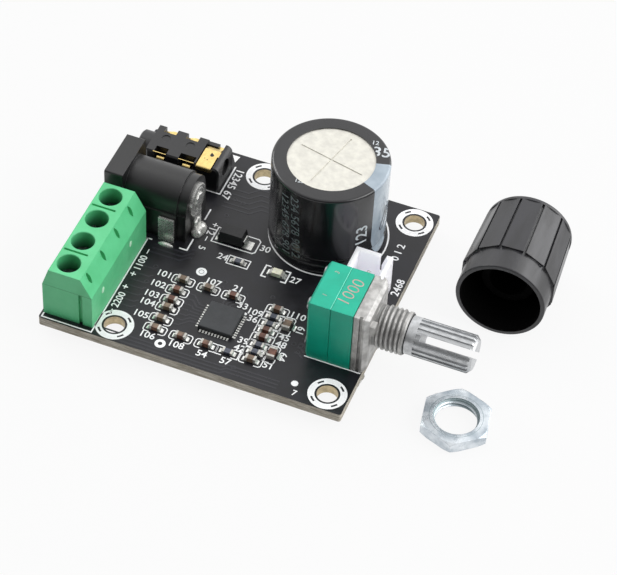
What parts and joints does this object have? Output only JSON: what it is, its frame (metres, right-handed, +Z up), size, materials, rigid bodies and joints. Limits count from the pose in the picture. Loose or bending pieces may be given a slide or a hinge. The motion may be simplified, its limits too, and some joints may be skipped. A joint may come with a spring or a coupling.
{
  "type": "audio amplifier board",
  "caption": "Stereo audio amplifier circuit board with screw terminals, power and audio sockets, a large capacitor and a volume control with its loose knob and nut.",
  "frame": {"origin": "centre of the front left screw hole, on the underside of the board", "axes": "+Z up from the board, +X to the right along the control's shaft, +Y to the back"},
  "size_m": [0.0721, 0.0451, 0.0198],
  "materials": {
    "board": "dark solder mask over woven laminate",
    "tin": "bright tinned metal",
    "green": "moulded, satin",
    "steel": "zinc plated",
    "black": "moulded, satin",
    "gold": "gold plated spring metal",
    "aluminium": "drawn, satin",
    "sleeve": "shrunk film",
    "rubber": "matt",
    "teal": "moulded, satin",
    "cast": "die cast",
    "shaft": "turned and knurled",
    "brown": "laminated board",
    "white": "moulded",
    "chip": "moulded, matt",
    "ceramic": "fired ceramic",
    "lamp": "clear cast",
    "knob": "moulded, satin",
    "zinc": "bright zinc"
  },
  "bodies": {
    "board": {"circuit_board": "board", "solder_joints": "tin", "terminal_housing": "green", "terminal_contacts": "tin", "power_jack_housing": "black", "power_jack_pin": "tin", "power_jack_strap": "tin", "power_jack_spring": "tin", "power_jack_side_lug": "tin", "audio_jack_housing": "black", "audio_tip_contact": "gold", "audio_jack_contacts": "gold", "capacitor_can": "aluminium", "capacitor_sleeve": "sleeve", "capacitor_bung": "rubber", "capacitor_leads": "tin", "pot_wafer_rear": "teal", "pot_wafer_front": "teal", "pot_track_rear": "brown", "pot_track_front": "brown", "pot_terminals": "tin", "pot_rivets": "steel", "pot_frame": "cast", "header_shroud": "white", "header_pins": "tin", "amplifier_chip": "chip", "chip_lands": "tin", "chip_capacitors": "ceramic", "chip_resistors": "chip", "chip_ends": "tin", "indicator_lamp": "lamp", "diode": "chip", "diode_leads": "tin", "volume_knob": "knob", "panel_nut": "zinc"},
    "shaft": {"pot_shaft": "shaft", "pot_rotors": "black", "pot_wipers": "gold"},
    "screw_1": {"terminal_screw_1": "steel"},
    "cage_1": {"terminal_cage_1": "steel"},
    "screw_2": {"terminal_screw_2": "steel"},
    "cage_2": {"terminal_cage_2": "steel"},
    "screw_3": {"terminal_screw_3": "steel"},
    "cage_3": {"terminal_cage_3": "steel"},
    "screw_4": {"terminal_screw_4": "steel"},
    "cage_4": {"terminal_cage_4": "steel"}
  },
  "joints": [
    {"name": "volume_turn", "type": "hinge", "parent": "board", "child": "shaft", "pos_m": [0.03859, 0.01044, 0.0082], "axis": [1, 0, 0], "range_deg": [-150, 150]},
    {"name": "screw_turn_1", "type": "hinge", "parent": "board", "child": "screw_1", "pos_m": [-0.00764, 0.00059, 0.0072], "axis": [0, 0, -1], "range_deg": [0, 801]},
    {"name": "cage_lift_1", "type": "slide", "parent": "board", "child": "cage_1", "axis": [0, 0, 1], "range_m": [0, 0.001]},
    {"name": "screw_turn_2", "type": "hinge", "parent": "board", "child": "screw_2", "pos_m": [-0.00764, 0.00567, 0.0072], "axis": [0, 0, -1], "range_deg": [0, 801]},
    {"name": "cage_lift_2", "type": "slide", "parent": "board", "child": "cage_2", "axis": [0, 0, 1], "range_m": [0, 0.001]},
    {"name": "screw_turn_3", "type": "hinge", "parent": "board", "child": "screw_3", "pos_m": [-0.00764, 0.01075, 0.0072], "axis": [0, 0, -1], "range_deg": [0, 801]},
    {"name": "cage_lift_3", "type": "slide", "parent": "board", "child": "cage_3", "axis": [0, 0, 1], "range_m": [0, 0.001]},
    {"name": "screw_turn_4", "type": "hinge", "parent": "board", "child": "screw_4", "pos_m": [-0.00764, 0.01583, 0.0072], "axis": [0, 0, -1], "range_deg": [0, 801]},
    {"name": "cage_lift_4", "type": "slide", "parent": "board", "child": "cage_4", "axis": [0, 0, 1], "range_m": [0, 0.001]}
  ],
  "couplings": [
    {"joint": "screw_turn_1", "follows": "cage_lift_1", "rad_per_m": 13963},
    {"joint": "screw_turn_2", "follows": "cage_lift_2", "rad_per_m": 13963},
    {"joint": "screw_turn_3", "follows": "cage_lift_3", "rad_per_m": 13963},
    {"joint": "screw_turn_4", "follows": "cage_lift_4", "rad_per_m": 13963}
  ]
}
